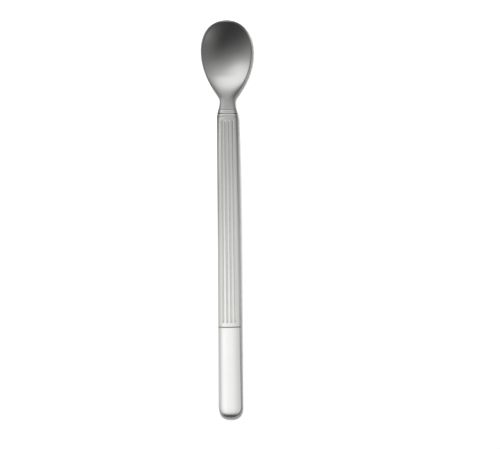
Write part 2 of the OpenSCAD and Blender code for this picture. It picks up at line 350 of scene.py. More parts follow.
RING_ANGLES = ring_angles()


def set_ring(s, ring):
    return [set_point(s, x, v) for x, v in ring]


def handle_ring(s, inset):
    half_w = half_width(s) - inset
    half_t = half_thickness(s) - inset
    return [oval(a, half_w, half_t, section_power(s)) for a in RING_ANGLES]


def bowl_ring(s):
    """The bowl's dished section, which turns into the neck's oval."""
    turn = neck_turn(s)
    ring = []
    for angle in RING_ANGLES:
        dish = bowl_point(s, angle)
        neck = oval(angle, half_width(s), half_thickness(s), section_power(s))
        ring.append((mix(dish[0], neck[0], turn), mix(dish[1], neck[1], turn)))
    return ring


def tang_ring(s, gap):
    """The flat tang, or with a gap the slot that it lies in."""
    narrowing = mix(1, TANG_TIP, max(0.0, s - COLLAR_AT) / TANG_LENGTH)
    half_w = TANG_WIDTH / 2 * narrowing + gap
    half_t = TANG_THICKNESS / 2 + gap
    return [oval(a, half_w, half_t, TANG_POWER) for a in RING_ANGLES]


def near_seam(distance, seam):
    """How much painted shade the steel takes at a distance from a seam."""
    return seam * math.exp(-((distance / SEAM_REACH) ** 2))


class Loft:
    """Rings of points, each with its share of painted shade, that become one closed mesh."""

    def __init__(self):
        self.points = []
        self.painted_shade = []
        self.count = 0
        self.rings = 0

    def ring(self, points, painted_shade):
        """The painted shade is one share for the whole ring, or a list with one for each point.
        """
        self.count = len(points)
        self.rings += 1
        self.points += points
        self.painted_shade += painted_shade if isinstance(painted_shade, list) else [painted_shade] * self.count

    def sides(self, joined):
        faces = []
        for i in range(self.rings if joined else self.rings - 1):
            near = i * self.count
            far = (i + 1) % self.rings * self.count
            for j in range(self.count):
                k = (j + 1) % self.count
                faces.append((near + j, near + k, far + k, far + j))
        return faces

    def piece(self, name, end, flipped=False):
        """end is joined for a tube that runs into itself, disc for round ends, strip for
        ends between a skin and its lining. flipped is for rings that run the other way."""
        last = (self.rings - 1) * self.count
        faces = self.sides(end == "joined")
        if end == "disc":
            faces.append(tuple(reversed(range(self.count))))
            faces.append(tuple(last + j for j in range(self.count)))
        if end == "strip":
            for j in range(self.count // 2 - 1):
                a, b, c, d = j, j + 1, self.count - 2 - j, self.count - 1 - j
                faces.append((d, c, b, a))
                faces.append((last + a, last + b, last + c, last + d))
        if flipped:
            faces = [tuple(reversed(face)) for face in faces]
        mesh = bpy.data.meshes.new(name)
        mesh.from_pydata(self.points, [], faces)
        painted_shade = mesh.attributes.new("painted_shade", "FLOAT", "POINT")
        painted_shade.data.foreach_set("value", self.painted_shade)
        mesh.shade_smooth()
        mesh.set_sharp_from_angle(angle=SHARP_ANGLE)
        piece = bpy.data.objects.new(name, mesh)
        bpy.context.scene.collection.objects.link(piece)
        return piece


def quarter_turn():
    """Shares from 0 to 1 that are close together at first, for the steps of a rounded edge."""
    return [1 - math.cos(math.pi / 2 * i / EASE_RINGS) for i in range(EASE_RINGS + 1)]


def forged_bowl():
    """The bowl, neck and shoulder, which run on as the tang."""
    loft = Loft()
    for i in range(1, FRONT_RINGS + 1):
        s = BOWL_WIDEST_AT * (i / FRONT_RINGS) ** 2
        loft.ring(set_ring(s, bowl_ring(s)), 0.0)
    for s in places(BOWL_WIDEST_AT, BOWL_LENGTH, BOWL_STEP)[1:]:
        loft.ring(set_ring(s, bowl_ring(s)), 0.0)
    # Faint painted shade towards the shoulder's seam
    for s in places(BOWL_LENGTH, COLLAR_AT - SEAM_EASE, BOWL_STEP)[1:]:
        loft.ring(set_ring(s, handle_ring(s, 0)), near_seam(COLLAR_AT - s, SHOULDER_SEAM))
    for i in range(1, EASE_RINGS + 1):
        s = COLLAR_AT - SEAM_EASE * (1 - math.sin(math.pi / 2 * i / EASE_RINGS))
        inset = BEAD_FALL * (1 - round_over(COLLAR_AT - s, SEAM_EASE))
        loft.ring(set_ring(s, handle_ring(s, inset)), near_seam(COLLAR_AT - s, SHOULDER_SEAM))
    # The hidden tang takes full painted shade
    for s in places(COLLAR_AT, COLLAR_AT + TANG_LENGTH, TANG_STEP):
        loft.ring(set_ring(s, tang_ring(s, 0)), 1.0)
    return loft.piece("spoon_bowl", "disc")


def bead_inset(s):
    """How far the collar lies below the handle's line, over its two beads and the crease."""
    across = 2 * (s - COLLAR_AT) / COLLAR_LENGTH
    swing = 2 * (across - (0 if across < 1 else 1)) - 1
    crease_side = swing > 0 if across < 1 else swing < 0
    return (CREASE_DEPTH if crease_side else BEAD_FALL) * (1 - round_over(1 - abs(swing), 1))


def beaded_collar():
    """Two beads round the tang, with the sharp crease between them."""
    loft = Loft()
    bead = COLLAR_LENGTH / 2
    for i in range(2 * BEAD_RINGS + 1):
        share = (i % BEAD_RINGS) / BEAD_RINGS if i < 2 * BEAD_RINGS else 1.0
        start = COLLAR_AT + bead * min(1, i // BEAD_RINGS)
        s = start + bead * (1 - math.cos(math.pi * share)) / 2
        # Painted shade along the crease between the beads and at the collar's ends; the slot
        # takes it in full
        crease = near_seam(s - COLLAR_AT - bead, SHARP_SEAM)
        ends = max(near_seam(s - COLLAR_AT, SHOULDER_SEAM), near_seam(GRIP_AT - s, SOFT_SEAM))
        loft.ring(set_ring(s, handle_ring(s, bead_inset(min(s, GRIP_AT)))), max(crease, ends))
    for s in places(COLLAR_AT, GRIP_AT, TANG_STEP)[::-1]:
        loft.ring(set_ring(s, tang_ring(s, BEDDING_GAP)), 1.0)
    return loft.piece("beaded_collar", "joined")


def oval_top(x, half_w, half_t):
    """Height of the handle's oval at x across."""
    return half_t * max(0.0, 1 - (abs(x) / half_w) ** SECTION_POWER) ** (1 / SECTION_POWER)


def flute_end(s, place):
    """How fully a flute is sunk at a place, from 0 before its ends to 1 along it."""
    first = GRIP_AT + FLUTE_START + (FLUTE_STEP if abs(place) < 1 else 0)
    d = min(s - first, CAP_AT - FLUTE_STOP - s)
    return 0.0 if d <= 0 else round_over(d, FLUTE_WIDTH / 2)


def flute_offsets():
    """The points across the flutes, each as its flute's place and its share of the half width."""
    shares = FLUTE_SHARES + [0.0] + [-share for share in reversed(FLUTE_SHARES)]
    return [(place, share) for place in FLUTE_PLACES for share in shares]


def edge_band(half_w, half_t):
    """The plain edge of a half shell, from where the halves meet up to the flutes."""
    return [oval(math.radians(a), half_w, half_t) for a in EDGE_ANGLES]


def mirrored(band):
    return [(-x, v) for x, v in reversed(band)]


def shell_ring(s, inset, side):
    """The outside of a half shell with its flutes, then its plain lining on the way back."""
    half_w = half_width(s)
    half_t = half_thickness(s)
    edge = edge_band(half_w - inset, half_t - inset)
    lining_edge = edge_band(half_w - SHELL_WALL, half_t - SHELL_WALL)
    # Painted shade in the flutes, darkest a little before their lower ends; the lining takes it
    # in full
    end = (CAP_AT - FLUTE_STOP - s - FLUTE_END_PLACE) / FLUTE_END_REACH
    flute_shade = FLUTE_SHADE + FLUTE_END_SHADE * math.exp(-end * end)
    fluted, lined, depth = [], [], []
    for place, share in flute_offsets():
        x = place * FLUTE_PITCH * half_w + share * FLUTE_WIDTH / 2
        sunk = max(0.0, soft_max(1 - share * share, 0, FLUTE_BLEND) - FLUTE_BLEND / 2)
        cut = FLUTE_DEPTH * flute_end(s, place) * sunk
        fluted.append((x, oval_top(x, half_w - inset, half_t - inset) - cut))
        inner = x * (half_w - SHELL_WALL) / half_w
        lined.append((inner, oval_top(inner, half_w - SHELL_WALL, half_t - SHELL_WALL)))
        depth.append(flute_shade * cut / FLUTE_DEPTH)
    skin = edge + fluted + mirrored(edge)
    lining = lining_edge + lined + mirrored(lining_edge)
    plain = [0.0] * len(edge)
    seam = max(near_seam(s - GRIP_AT, SOFT_SEAM), near_seam(CAP_AT - s, SHARP_SEAM))
    painted_shade = [max(seam, share) for share in plain + depth + plain] + [1.0] * len(lining)
    return set_ring(s, [(x, side * v) for x, v in skin + lining[::-1]]), painted_shade


def shell_places():
    """Places of a half shell's rings, close together at its seams and at the flutes' ends."""
    flutes_from = GRIP_AT + FLUTE_START
    flutes_to = CAP_AT - FLUTE_STOP
    end_round = FLUTE_WIDTH / 2 + FLUTE_STEP
    near = [GRIP_AT + SEAM_EASE * q for q in quarter_turn()] + [GRIP_AT + SEAM_CLEAR]
    near += [flutes_from + end_round * q for q in quarter_turn()]
    far = [CAP_AT - SEAM_EASE * q for q in quarter_turn()] + [CAP_AT - SEAM_CLEAR]
    far += [flutes_to - end_round * q for q in quarter_turn()]
    # The middle rings stop short of the flutes' ends, where their painted shade comes in
    end_shade_start = flutes_to - end_round - FLUTE_END_REACH
    middle = places(flutes_from + end_round, end_shade_start, HANDLE_STEP)
    return near + middle[1:] + sorted(far)


def half_shell(name, side):
    """One pressed half of the handle, side 1 for the upper and -1 for the lower."""
    loft = Loft()
    for s in shell_places():
        inset = SEAM_EASE * (1 - round_over(min(s - GRIP_AT, CAP_AT - s), SEAM_EASE))
        points, painted_shade = shell_ring(s, inset, side)
        loft.ring(points, painted_shade)
    return loft.piece(name, "strip", side < 0)


def spigot_ring(reach):
    """A ring of the spigot, reach millimetres into the handle."""
    tilt = math.atan(middle_slope(CAP_AT, END_HEIGHT))
    axis = Vector((0, math.cos(tilt), -math.sin(tilt))) * reach * MM
    radius = SPIGOT_D / 2
    ring = set_ring(CAP_AT, [(radius * math.cos(a), radius * math.sin(a)) for a in RING_ANGLES])
    return [tuple(Vector(point) + axis) for point in ring]


def solid_end():
    """The plain end with its rounded nose, and the spigot that goes into the handle."""
    loft = Loft()
    # The hidden spigot takes full painted shade, and the seam beside it a sharp line of painted
    # shade
    loft.ring(spigot_ring(SPIGOT_LENGTH), 1.0)
    loft.ring(spigot_ring(0), 1.0)
    for share in quarter_turn():
        s = CAP_AT + SEAM_EASE * share
        inset = SEAM_EASE * (1 - round_over(s - CAP_AT, SEAM_EASE))
        loft.ring(set_ring(s, handle_ring(s, inset)), near_seam(s - CAP_AT, SHARP_SEAM))
    for s in [CAP_AT + SEAM_CLEAR] + places(CAP_AT + SEAM_EASE, NOSE_AT, HANDLE_STEP)[1:]:
        loft.ring(set_ring(s, handle_ring(s, 0)), near_seam(s - CAP_AT, SHARP_SEAM))
    for i in range(1, NOSE_RINGS + 1):
        width = max(NOSE_TIP, math.cos(math.pi / 2 * i / NOSE_RINGS))
        s = NOSE_AT + NOSE_LENGTH * (1 - width ** NOSE_POWER) ** (1 / NOSE_POWER)
        loft.ring(set_ring(s, handle_ring(s, 0)), 0.0)
    return loft.piece("plain_end", "disc")


# Sockets of the colour form of a Mix node, whose other forms use the same names
MIX_FIRST = 6
MIX_SECOND = 7
MIX_RESULT = 2


def put(tree, kind, values=None, **settings):
    """A new node with its settings, and its inputs each given a value or a link."""
    node = tree.nodes.new(kind)
    for name, value in settings.items():
        setattr(node, name, value)
    for key, value in (values or {}).items():
        if isinstance(value, bpy.types.NodeSocket):
            tree.links.new(value, node.inputs[key])
        else:
            node.inputs[key].default_value = value
    return node


def worked_out(tree, operation, *values, limited=False):
    """The result of a Math node."""
    return put(tree, "ShaderNodeMath", dict(enumerate(values)), operation=operation,
               use_clamp=limited).outputs[0]


def of_vectors(tree, operation, *values):
    """The outputs of a Vector Math node."""
    return put(tree, "ShaderNodeVectorMath", dict(enumerate(values)), operation=operation).outputs


def mixed(tree, share, first, second):
    """A colour between two colours."""
    return put(tree, "ShaderNodeMix", {0: share, MIX_FIRST: first, MIX_SECOND: second},
               data_type="RGBA").outputs[MIX_RESULT]


def parts_of(tree, vector):
    """The X, Y and Z of a vector."""
    return put(tree, "ShaderNodeSeparateXYZ", {0: vector}).outputs


def surface_place(tree):
    """The place on the surface that is being shaded."""
    return put(tree, "ShaderNodeNewGeometry").outputs["Position"]


class Group:
    """A shader node group with named sockets, to be placed in more than one finish."""

    def __init__(self, name, inputs, outputs):
        self.tree = bpy.data.node_groups.new(name, "ShaderNodeTree")
        for label, kind in inputs.items():
            self.tree.interface.new_socket(label, in_out="INPUT", socket_type=kind)
        for label, kind in outputs.items():
            self.tree.interface.new_socket(label, in_out="OUTPUT", socket_type=kind)
        self.given = self.tree.nodes.new("NodeGroupInput").outputs
        self.result = self.tree.nodes.new("NodeGroupOutput").inputs

    def give(self, label, source):
        self.tree.links.new(source, self.result[label])


FLOAT = "NodeSocketFloat"
VECTOR = "NodeSocketVector"
COLOUR = "NodeSocketColor"

# Grain of the noise under each effect, and the part of its range that counts
SCRATCH_GRAIN = {"Scale": 1.0, "Detail": 2.0, "Roughness": 0.6}
SCRATCH_FULL = 0.85
HAZE_GRAIN = {"Detail": 3.0, "Roughness": 0.55}
HAZE_RANGE = (0.3, 0.7)
SPECK_GRAIN = {"Scale": 2500.0, "Detail": 4.0, "Roughness": 0.65}
SPECK_RANGE = (0.25, 0.75)
SPECK_STRENGTH = (0.7, 1.15)


def hairline_scratches():
    """Thin scratches that run along the spoon, turned by an angle, as a mask."""
    group = Group(
        "hairline scratches",
        {"Position": VECTOR, "Turn": FLOAT, "Fineness": FLOAT, "Length": FLOAT,
         "Sparseness": FLOAT},
        {"Mask": FLOAT},
    )
    tree, given = group.tree, group.given
    turned = put(tree, "ShaderNodeVectorRotate",
                 {"Vector": given["Position"], "Angle": given["Turn"]}, rotation_type="Z_AXIS")
    stretch = worked_out(tree, "MULTIPLY", given["Fineness"], given["Length"])
    scale = put(tree, "ShaderNodeCombineXYZ",
                {"X": given["Fineness"], "Y": stretch, "Z": given["Fineness"]})
    placed = of_vectors(tree, "MULTIPLY", turned.outputs["Vector"], scale.outputs["Vector"])
    noise = put(tree, "ShaderNodeTexNoise", {"Vector": placed["Vector"], **SCRATCH_GRAIN})
    mask = put(tree, "ShaderNodeMapRange",
               {"Value": noise.outputs["Fac"], "From Min": given["Sparseness"],
                "From Max": SCRATCH_FULL}, interpolation_type="SMOOTHSTEP")
    group.give("Mask", mask.outputs["Result"])
    return group.tree


def polish_haze():
    """Soft patches where the polish is a little duller, as a roughness."""
    group = Group(
        "polish haze",
        {"Position": VECTOR, "Patches": FLOAT, "Bright": FLOAT, "Dull": FLOAT,
         "Scratches": FLOAT, "Scratch Roughness": FLOAT},
        {"Roughness": FLOAT},
    )
    tree, given = group.tree, group.given
    noise = put(tree, "ShaderNodeTexNoise",
                {"Vector": given["Position"], "Scale": given["Patches"], **HAZE_GRAIN})
    spread = put(tree, "ShaderNodeMapRange",
                 {"Value": noise.outputs["Fac"], "From Min": HAZE_RANGE[0],
                  "From Max": HAZE_RANGE[1], "To Min": given["Bright"], "To Max": given["Dull"]})
    scratched = worked_out(tree, "MULTIPLY_ADD", given["Scratches"], given["Scratch Roughness"],
                           spread.outputs["Result"])
    group.give("Roughness", scratched)
    return group.tree


def groove_shade():
    """Painted shade: steel darkened in its seams and grooves, broken up by fine specks."""
    group = Group(
        "painted groove shade",
        {"Steel": COLOUR, "Painted Shade": COLOUR, "Depth": FLOAT, "Strength": FLOAT,
         "Position": VECTOR},
        {"Colour": COLOUR, "Mask": FLOAT},
    )
    tree, given = group.tree, group.given
    noise = put(tree, "ShaderNodeTexNoise", {"Vector": given["Position"], **SPECK_GRAIN})
    broken = put(tree, "ShaderNodeMapRange",
                 {"Value": noise.outputs["Fac"], "From Min": SPECK_RANGE[0],
                  "From Max": SPECK_RANGE[1], "To Min": SPECK_STRENGTH[0],
                  "To Max": SPECK_STRENGTH[1]})
    deep = worked_out(tree, "MULTIPLY", given["Depth"], given["Strength"])
    mask = worked_out(tree, "MULTIPLY", deep, broken.outputs["Result"], limited=True)
    group.give("Colour", mixed(tree, mask, given["Steel"], given["Painted Shade"]))
    group.give("Mask", mask)
    return group.tree


class Finish:
    """A finish on one Principled BSDF, built up from the shared groups."""

    def __init__(self, name, **sockets):
        self.material = bpy.data.materials.new(name)
        self.material.use_nodes = True
        self.tree = self.material.node_tree
        self.shader = next(n for n in self.tree.nodes if n.type == "BSDF_PRINCIPLED")
        for label, value in sockets.items():
            self.shader.inputs[label].default_value = value
        self.position = put(self.tree, "ShaderNodeTexCoord").outputs["Object"]

    def group(self, group, values):
        return put(self.tree, "ShaderNodeGroup", values, node_tree=group).outputs

    def feed(self, socket, source):
        self.tree.links.new(source, self.shader.inputs[socket])

    def bump(self, height, depth, strength):
        values = {"Height": height, "Distance": depth, "Strength": strength}
        self.feed("Normal", put(self.tree, "ShaderNodeBump", values).outputs["Normal"])


SCRATCHES = hairline_scratches()
HAZE = polish_haze()
GROOVE_SHADE = groove_shade()

# What all the steel has in common: the dark colour of the painted shade in its seams and grooves,
# and the places in metres where the polish turns to satin
CREASE_SHADE_COLOUR = (0.10, 0.10, 0.095, 1)
LINE_BUMP = 0.4
SATIN_FROM = 0.066
SATIN_TO = 0.057

# The bedding cement and its grit
CEMENT_ROUGHNESS = 0.9
CEMENT_DARK = (0.42, 0.38, 0.31, 1)
CEMENT_PALE = (0.62, 0.57, 0.49, 1)
GRIT_FINENESS = 3500.0
GRIT_DEPTH = 0.0001
GRIT_BUMP = 0.6


def steel(name, colour, bright, dull, patches, painted_shade, lines, line_depth, line_roughness,
          satin=0.0):
    """Steel with hairlines, patches of haze and painted shade, a darker colour, in its seams and
    grooves. bright and dull are its roughness between the patches and in them, satin is what
    the neck adds to that, and lines is a list of (turn in degrees, fineness, length, sparseness)."""
    finish = Finish(name, Metallic=1.0)
    masks = [
        finish.group(SCRATCHES, {
            "Position": finish.position, "Turn": math.radians(turn), "Fineness": fineness,
            "Length": length, "Sparseness": sparseness,
        })["Mask"]
        for turn, fineness, length, sparseness in lines
    ]
    every_line = masks[0]
    for mask in masks[1:]:
        every_line = worked_out(finish.tree, "MAXIMUM", every_line, mask)
    haze = finish.group(HAZE, {
        "Position": finish.position, "Patches": patches, "Bright": bright, "Dull": dull,
        "Scratches": every_line, "Scratch Roughness": line_roughness,
    })
    # Painted shade: the seams and grooves are mixed towards a dark colour
    depth = put(finish.tree, "ShaderNodeAttribute", attribute_name="painted_shade").outputs["Fac"]
    darkened = finish.group(GROOVE_SHADE, {
        "Steel": (*colour, 1), "Painted Shade": CREASE_SHADE_COLOUR, "Depth": depth,
        "Strength": painted_shade, "Position": finish.position,
    })
    finish.feed("Base Color", darkened["Colour"])
    roughness = haze["Roughness"]
    if satin:
        along = parts_of(finish.tree, finish.position)["Y"]
        brushed = put(finish.tree, "ShaderNodeMapRange",
                      {"Value": along, "From Min": SATIN_FROM, "From Max": SATIN_TO,
                       "To Max": satin}, interpolation_type="SMOOTHSTEP")
        roughness = worked_out(finish.tree, "ADD", roughness, brushed.outputs["Result"])
    finish.feed("Roughness", roughness)
    finish.bump(every_line, line_depth, LINE_BUMP)
    return finish.material


def bowl_steel():
    """Mirror polish with scratches along and aslant from use, satin from the neck on."""
    return steel(
        "bowl steel, polished", colour=(0.62, 0.62, 0.612), bright=0.12, dull=0.2,
        patches=160.0, painted_shade=0.8, line_depth=0.000012, line_roughness=0.12, satin=0.35,
        lines=[(0, 9000.0, 0.06, 0.62), (32, 8000.0, 0.05, 0.66), (-38, 8000.0, 0.05, 0.67)],
    )


def collar_steel():
    """Polished beads, with the lines of the buff round them and painted shade in the crease."""
    return steel(
        "collar steel, polished beads", colour=(0.62, 0.62, 0.605), bright=0.27, dull=0.34,
        patches=200.0, painted_shade=0.75, line_depth=0.00001, line_roughness=0.1,
        lines=[(90, 9000.0, 0.08, 0.62)],
    )


def handle_steel():
    """Satin, brushed along the handle, with painted shade in the flutes."""
    return steel(
        "handle steel, brushed along", colour=(0.66, 0.66, 0.64), bright=0.26, dull=0.36,
        patches=120.0, painted_shade=0.8, line_depth=0.00001, line_roughness=0.1,
        lines=[(0, 11000.0, 0.02, 0.5), (3, 7000.0, 0.03, 0.6)],
    )


def end_steel():
    """Polished, with fine scratches from use."""
    return steel(
        "end steel, polished", colour=(0.68, 0.68, 0.672), bright=0.18, dull=0.26,
        patches=140.0, painted_shade=0.8, line_depth=0.000012, line_roughness=0.1,
        lines=[(0, 9000.0, 0.05, 0.62), (24, 8000.0, 0.05, 0.66)],
    )


def bedding_cement():
    """Grey-brown filled cement with fine grit."""
    finish = Finish("bedding cement", Metallic=0.0, Roughness=CEMENT_ROUGHNESS)
    grit = put(finish.tree, "ShaderNodeTexVoronoi",
               {"Vector": finish.position, "Scale": GRIT_FINENESS}).outputs["Distance"]
    mottle = put(finish.tree, "ShaderNodeValToRGB", {"Fac": grit})
    mottle.color_ramp.elements[0].color = CEMENT_DARK
    mottle.color_ramp.elements[1].color = CEMENT_PALE
    finish.feed("Base Color", mottle.outputs["Color"])
    finish.bump(grit, GRIT_DEPTH, GRIT_BUMP)
    return finish.material


# The camera, in metres, with its sensor in millimetres and its lean in degrees
SENSOR = 36.0
CAMERA_HEIGHT = 1.2
HANDLE_LEVEL = 0.008
VIEW_WIDTH = 0.23856
VIEW_OFFSET = (0.01034, -0.00246)
VIEW_REACH = 30.0
CAMERA_LEAN = 0.62

# The table and the lights, in metres and watts
FLOOR_REACH = 3.0
FLOOR_DROP = 0.00003
FLOOR_COLOUR = (0.9, 0.9, 0.9, 1)
WORLD_LIGHT = 0.2
LAMP_POWER = 10.5
LAMP_RADIUS = 0.044
LAMP_PLACE = (-0.046, 0.13, 0.5)

# Glow of the table by distance from its middle, as (metres, level)
FLOOR_GLOW = [
    (0.08, 0.13), (0.17, 0.23), (0.3, 0.36), (0.45, 0.52), (0.6, 0.66), (1.0, 0.85), (2.0, 0.9),
]

# The tent, with its levels by how nearly a direction points at its two bright sides
TENT_RADIUS = 2.5
TENT_ROWS = 24
TENT_SIDES = 64
TENT_BRIGHT_SIDE = (-0.25, 0.97, 0.0)
TENT_CURL = 0.5
TENT_LEVELS = [
    (-1.0, 0.06), (-0.8, 0.055), (-0.6, 0.08), (-0.5, 0.1), (-0.34, 0.135), (-0.2, 0.17),
    (0.0, 0.225), (0.14, 0.29), (0.36, 0.42), (0.54, 0.63), (0.68, 0.94), (0.86, 1.22),
    (1.0, 1.25),
]
TENT_SIDE_LIGHT = (0.8, -0.6, 0.0)
TENT_SIDE_LEVELS = [(0.45, 0.0), (0.65, 0.015), (0.8, 0.06), (0.9, 0.13), (1.0, 0.4)]

# The canopy over the handle, with levels across it as (share of its radius, level) over the
# plain end and over the grip, and along it as (metres, level)
CANOPY_RADIUS = 0.3
CANOPY_ACROSS_END = [
    (-1.0, 0.42), (-0.83, 0.64), (-0.67, 0.85), (-0.5, 1.05), (-0.24, 1.14), (0.0, 1.02),
    (0.16, 0.93), (0.34, 0.83), (0.6, 0.7), (0.77, 0.67), (1.0, 0.5),
]
CANOPY_ACROSS_GRIP = [
    (-1.0, 0.42), (-0.83, 0.64), (-0.67, 0.84), (-0.5, 1.0), (-0.24, 1.06), (0.0, 1.0),
    (0.16, 0.96), (0.34, 0.97), (0.6, 1.05), (0.77, 1.0), (1.0, 0.6),
]
CANOPY_GRIP_SHARE = [(-0.06, 0.0), (-0.045, 1.0), (0.2, 1.0)]
CANOPY_ALONG = [
    (-0.6, 0.3), (-0.48, 0.4), (-0.38, 0.95), (-0.3, 1.1), (-0.13, 1.12), (-0.098, 1.17),
    (-0.05, 1.03), (-0.044, 0.93), (-0.038, 0.85), (-0.025, 0.75), (0.0185, 0.59),
    (0.104, 0.35), (0.15, 0.18), (0.2, 0.0),
]

# The cards round the spoon, in millimetres from the bowl's tip, with their tops above the
# spoon's middle line, and their levels along the left and right as (metres, level)
CARD_GAP = 3.0
CARD_PLACES = [0.5, 1.5, 3, 5, 9, 15, 22, 28, 34, 40, 60, 80, 100, 130, 160, 186, 189.5]
CARD_RISES = [
    (0, 6.0), (5, 5.0), (12, 2.0), (18, 0.5), (28, 0.0), (35, 3.0), (40, 5.0), (46, 4.0),
    (60, 3.0), (90, 2.4), (120, 2.2), (184, 2.2), (190, 2.8),
]
CARD_LEFT = [
    (-0.1, 0.1), (-0.0968, 0.14), (-0.0945, 0.45), (-0.091, 0.75), (-0.086, 0.84),
    (-0.04, 0.8), (-0.012, 0.7), (0.008, 0.42), (0.045, 0.34), (0.055, 0.26), (0.068, 0.8),
    (0.076, 0.42), (0.088, 0.55), (0.093, 0.1),
]
CARD_RIGHT = [
    (-0.1, 0.1), (-0.0968, 0.14), (-0.0945, 0.25), (-0.0905, 0.36), (-0.06, 0.4),
    (-0.035, 0.6), (-0.012, 0.55), (0.01, 0.42), (0.03, 0.3), (0.045, 0.25), (0.06, 0.25),
    (0.072, 0.3), (0.078, 0.5), (0.088, 0.85), (0.094, 0.05),
]


def clear_material(name):
    material = bpy.data.materials.new(name)
    material.use_nodes = True
    material.node_tree.nodes.clear()
    return material, material.node_tree


def glowing_cloth(name):
    """A material that only glows, and that isn't counted among the lamps."""
    material, tree = clear_material(name)
    material.cycles.emission_sampling = "NONE"
    return material, tree


def glow(tree, colour, strength=1.0):
    return put(tree, "ShaderNodeEmission", {"Color": colour, "Strength": strength})


def added(tree, first, second):
    return put(tree, "ShaderNodeAddShader", {0: first.outputs[0], 1: second.outputs[0]})


def surface(tree, shader, kind="ShaderNodeOutputMaterial"):
    put(tree, kind, {"Surface": shader.outputs[0]})


def levels(tree, value, stops):
    """A grey that follows a value through a row of (value, level) stops."""
    first, last = stops[0][0], stops[-1][0]
    share = put(tree, "ShaderNodeMapRange", {"Value": value, "From Min": first, "From Max": last})
    ramp = put(tree, "ShaderNodeValToRGB", {"Fac": share.outputs["Result"]})
    elements = ramp.color_ramp.elements
    elements.remove(elements[-1])
    for i, (place, level) in enumerate(stops):
        spot = (place - first) / (last - first)
        element = elements[0] if i == 0 else elements.new(spot)
        element.position = spot
        element.color = (level, level, level, 1)
    return ramp.outputs["Color"]


def seen_rays(tree):
    """1 where the camera, a reflection or a view through glass meets the surface."""
    path = put(tree, "ShaderNodeLightPath").outputs
    seen = worked_out(tree, "ADD", path["Is Camera Ray"], path["Is Glossy Ray"])
    return worked_out(tree, "ADD", seen, path["Is Transmission Ray"], limited=True)


def table_white():
    """White floor that keeps the shadows, and glows by itself where the lamp doesn't reach."""
    material, tree = clear_material("white table")
    distance = of_vectors(tree, "LENGTH", surface_place(tree))["Value"]
    strength = worked_out(tree, "MULTIPLY", seen_rays(tree), levels(tree, distance, FLOOR_GLOW))
    lit = put(tree, "ShaderNodeBsdfDiffuse", {"Color": FLOOR_COLOUR})
    surface(tree, added(tree, lit, glow(tree, (1, 1, 1, 1), strength)))
    return material


def stage_mesh(name, points, faces, material):
    mesh = bpy.data.meshes.new(name)
    mesh.from_pydata(points, [], faces)
    mesh.materials.append(material)
    thing = bpy.data.objects.new(name, mesh)
    bpy.context.scene.collection.objects.link(thing)
    return thing


def only_reflected(thing):
    """The metal sees this piece of the studio, and nothing else does."""
    thing.visible_camera = False
    thing.visible_diffuse = False
    thing.visible_shadow = False
    thing.visible_transmission = False
    thing.visible_volume_scatter = False


def only_lights(thing, pieces):
    """Keeps this piece of the studio for the reflections in some pieces of the spoon."""
    lit = bpy.data.collections.new(thing.name + " lights these")
    for piece in pieces:
        lit.objects.link(piece)
    thing.light_linking.receiver_collection = lit


def table():
    r, z = FLOOR_REACH, -FLOOR_DROP
    corners = [(-r, -r, z), (r, -r, z), (r, r, z), (-r, r, z)]
    stage_mesh("table", corners, [(0, 1, 2, 3)], table_white())


def world():
    """Plain white, both as the background and as soft light from all round."""
    studio = bpy.data.worlds.new("studio")
    bpy.context.scene.world = studio
    studio.use_nodes = True
    tree = studio.node_tree
    tree.nodes.clear()
    strength = put(tree, "ShaderNodeMapRange",
                   {"Value": seen_rays(tree), "To Min": WORLD_LIGHT, "To Max": 1.0})
    white = put(tree, "ShaderNodeBackground",
                {"Color": (1, 1, 1, 1), "Strength": strength.outputs["Result"]})
    surface(tree, white, "ShaderNodeOutputWorld")


def tent_cloth():
    """Brightest past the bowl's tip, in a band that curls forward at its sides, and dim over
    the handle, with a low light at the right of it."""
    material, tree = glowing_cloth("tent cloth")
    direction = of_vectors(tree, "NORMALIZE", surface_place(tree))["Vector"]
    parts = parts_of(tree, direction)
    sideways = worked_out(tree, "MULTIPLY", parts["X"], parts["X"])
    forward = worked_out(tree, "MULTIPLY", sideways, parts["Y"])
    straight = of_vectors(tree, "DOT_PRODUCT", direction, TENT_BRIGHT_SIDE)["Value"]
    ahead = worked_out(tree, "MULTIPLY_ADD", forward, TENT_CURL, straight)
    beside = of_vectors(tree, "DOT_PRODUCT", direction, TENT_SIDE_LIGHT)["Value"]
    both = of_vectors(tree, "ADD", levels(tree, ahead, TENT_LEVELS),
                      levels(tree, beside, TENT_SIDE_LEVELS))
    surface(tree, glow(tree, both["Vector"]))
    return material


def tent():
    """The round tent over the table, which the polish mirrors."""
    points, faces = [], []
    for i in range(TENT_ROWS + 1):
        rise = math.pi / 2 * i / TENT_ROWS
        height = TENT_RADIUS * math.sin(rise) - 2 * FLOOR_DROP
        across = TENT_RADIUS * math.cos(rise)
        for j in range(TENT_SIDES):
            turn = 2 * math.pi * j / TENT_SIDES
            points.append((across * math.cos(turn), across * math.sin(turn), height))
    for i in range(TENT_ROWS):
        low, high = i * TENT_SIDES, (i + 1) * TENT_SIDES
        for j in range(TENT_SIDES):
            k = (j + 1) % TENT_SIDES
            faces.append((low + j, high + j, high + k, low + k))
    only_reflected(stage_mesh("tent", points, faces, tent_cloth()))


def canopy_cloth():
    """Brighter towards the plain end and to the left, and faded out before the bowl."""
    material, tree = glowing_cloth("canopy cloth")
    place = parts_of(tree, surface_place(tree))
    over_end, over_grip = [
        levels(tree, place["X"], [(CANOPY_RADIUS * x, level) for x, level in stops])
        for stops in (CANOPY_ACROSS_END, CANOPY_ACROSS_GRIP)
    ]
    across = mixed(tree, levels(tree, place["Y"], CANOPY_GRIP_SHARE), over_end, over_grip)
    both = of_vectors(tree, "MULTIPLY", across, levels(tree, place["Y"], CANOPY_ALONG))
    clear = put(tree, "ShaderNodeBsdfTransparent")
    surface(tree, added(tree, glow(tree, both["Vector"]), clear))
    return material


